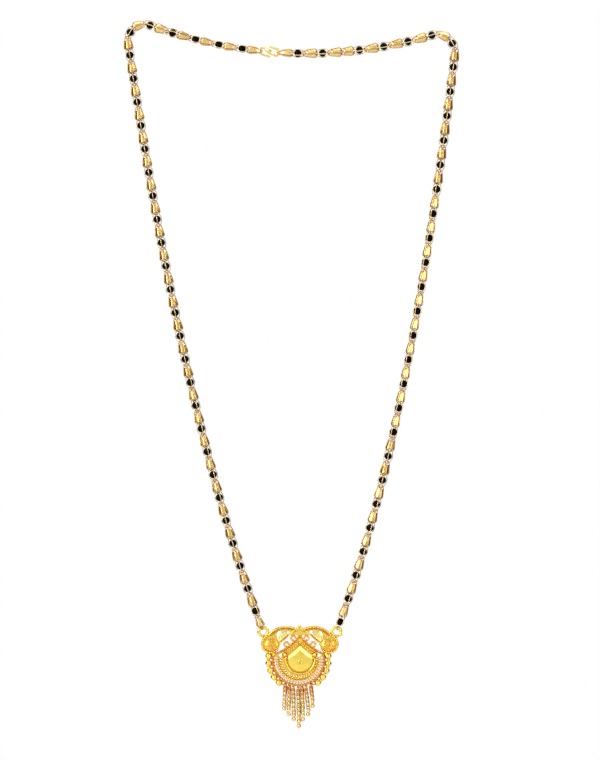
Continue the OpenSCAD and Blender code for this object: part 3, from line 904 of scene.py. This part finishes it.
def polished_leaves():
    """A thin pale shell over each leaf, its pale tone painted sheen: the cap of a large ball, cut
    along the inner edge.
    """
    bm = bmesh.new()
    bmesh.ops.create_uvsphere(bm, u_segments=40, v_segments=72, radius=LEAF_BALL + LEAF_LIFT)
    for point, outwards in (((0, 0, LEAF_FOOT), (0, 0, -1)), LEAF_EDGE):
        bmesh.ops.bisect_plane(
            bm, geom=bm.verts[:] + bm.edges[:] + bm.faces[:], plane_co=point,
            plane_no=outwards, clear_outer=True,
        )
    bmesh.ops.solidify(bm, geom=bm.faces, thickness=LEAF_SHELL)
    bmesh.ops.recalc_face_normals(bm, faces=bm.faces)
    place = pendant_place(*LEAF_MIDDLE, FACE + LEAF_HEIGHT - LEAF_BALL)
    bm = set_out(as_mesh(bm), [place, FLIP @ place])
    bmesh.ops.recalc_face_normals(bm, faces=bm.faces)
    ornament(bm, "polished_leaves", PALE_SHEEN_GOLD)


def leaf_veins():
    """Fine curved ribs fanned over each polished leaf."""
    lines = [
        wire_arc(LEAF_MIDDLE, *vein, VEIN_SPANS, flip) for vein in VEINS for flip in (1, -1)
    ]
    veins = wires(lines, VEIN_WIRE, closed=False, sides=6, smooth=2)
    ornament(joined(veins), "leaf_veins", PALE_SHEEN_GOLD)


for side in ("left", "right"):
    bead_cages(side)
    gold_bells(side)
    bell_wires(side)
for k in range(len(FRINGE)):
    fringe_links(k)
fringe_rings()
fine_grains()
twisted_wires()
crescent_leaves()
slot_ribs()
rim_loops()
rim_grains()
polished_leaves()
leaf_veins()


def repaint(node, material):
    """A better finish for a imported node, in its own slots."""
    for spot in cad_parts[node].material_slots:
        spot.material = material


repaint("pendant_plate", CAST_GOLD)
repaint("s_hook", CLASP_GOLD)
for side in ("left", "right"):
    repaint("black_beads_" + side, BLACK_GLASS)
for k in range(len(FRINGE)):
    repaint(f"fringe_ball_{k + 1}", FRINGE_GOLD)


# Studio, in metres

FLOOR_RADIUS = 0.62
FLOOR_HEIGHT = -0.41

# Lights: place, what it is aimed at, width, height, power
LIGHTS = {
    "key_light": ((-0.9, -0.9, 0.15), (0, 0, -0.15), 0.4, 0.9, 9.5),
    "fill_light": ((0.9, -0.9, 0.1), (0, 0, -0.15), 0.4, 0.8, 2.6),
    "left_edge_light": ((-0.72, -0.10, 0.56), (0, 0, -0.28), 0.45, 0.35, 2.5),
    "right_edge_light": ((0.72, -0.10, 0.56), (0, 0, -0.28), 0.45, 0.35, 2.5),
    "ceiling_light": ((0, 0, 1.4), (0, 0, -0.4), 1.2, 1.2, 11),
}

# What the metal mirrors, from behind the camera at 0 to behind the necklace at 1
WALLS = [
    (0.0, (0.82, 0.82, 0.82)), (0.09, (0.74, 0.74, 0.74)), (0.24, (0.34, 0.34, 0.34)),
    (0.40, (0.12, 0.085, 0.06)), (0.62, (0.09, 0.05, 0.03)), (0.80, (0.20, 0.16, 0.12)),
    (1.0, (0.70, 0.70, 0.70)),
]

# The photograph's frame: its height at the necklace and the x and z of its middle; then the lens
# and the longer side of the sensor in millimetres
FRAME_HEIGHT = 0.342
FRAME_MIDDLE = (0.00393, -0.1563)
LENS = 180
SENSOR = 36


def floor():
    """A pale round floor below the pendant."""
    bm = bmesh.new()
    bmesh.ops.create_circle(bm, cap_ends=True, segments=64, radius=FLOOR_RADIUS)
    bmesh.ops.translate(bm, verts=bm.verts, vec=(0, 0, FLOOR_HEIGHT))
    mesh = as_mesh(bm)
    paint = Finish("floor_paint", 0.0)
    greyer, whiter = (NOISE_LOW, (0.86, 0.86, 0.86)), (NOISE_HIGH, (0.90, 0.90, 0.90))
    paint.colour(paint.cloud(8, greyer, whiter))
    paint.polish(20, 0.6, 0.8)
    mesh.materials.append(paint.material)
    ground = bpy.data.objects.new("floor", mesh)
    bpy.context.scene.collection.objects.link(ground)


def soft_light(name, place, aim, width, height, power):
    """A rectangular lamp that faces the point it is aimed at."""
    data = bpy.data.lights.new(name, "AREA")
    data.shape = "RECTANGLE"
    data.size, data.size_y = width, height
    data.energy = power
    lamp = bpy.data.objects.new(name, data)
    lamp.location = place
    lamp.rotation_euler = (Vector(aim) - Vector(place)).to_track_quat("-Z", "Y").to_euler()
    bpy.context.scene.collection.objects.link(lamp)


def studio_world():
    """White to the camera; the metal mirrors walls, bright by the camera and dim at the sides."""
    world = bpy.data.worlds.new("studio")
    bpy.context.scene.world = world
    world.use_nodes = True
    nodes, links = world.node_tree.nodes, world.node_tree.links
    direction = nodes.new("ShaderNodeTexCoord")
    parts = nodes.new("ShaderNodeSeparateXYZ")
    walls = nodes.new("ShaderNodeValToRGB")
    for element, (position, shade) in zip(walls.color_ramp.elements, WALLS):
        element.position, element.color = position, (*shade, 1)
    for position, shade in WALLS[2:]:
        walls.color_ramp.elements.new(position).color = (*shade, 1)
    half = nodes.new("ShaderNodeMapRange")
    half.inputs["From Min"].default_value = -1.0
    links.new(direction.outputs["Generated"], parts.inputs["Vector"])
    links.new(parts.outputs["Y"], half.inputs["Value"])
    links.new(half.outputs["Result"], walls.inputs["Fac"])
    rays = nodes.new("ShaderNodeLightPath")
    backdrop = nodes.new("ShaderNodeMix")
    backdrop.data_type = "RGBA"
    backdrop.inputs["B"].default_value = (1, 1, 1, 1)
    links.new(rays.outputs["Is Camera Ray"], backdrop.inputs["Factor"])
    links.new(walls.outputs["Color"], backdrop.inputs["A"])
    links.new(backdrop.outputs["Result"], nodes["Background"].inputs["Color"])


def camera():
    """A long lens straight in front."""
    data = bpy.data.cameras.new("camera")
    data.lens = LENS
    data.sensor_width = SENSOR
    data.clip_start, data.clip_end = 0.05, 20
    eye = bpy.data.objects.new("camera", data)
    x, z = FRAME_MIDDLE
    eye.location = (x, -FRAME_HEIGHT * LENS / SENSOR, z)
    eye.rotation_euler = (pi / 2, 0, 0)
    bpy.context.scene.collection.objects.link(eye)
    bpy.context.scene.camera = eye


floor()
studio_world()
for name, light in LIGHTS.items():
    soft_light(name, *light)
camera()
bpy.context.scene.view_settings.view_transform = "Standard"
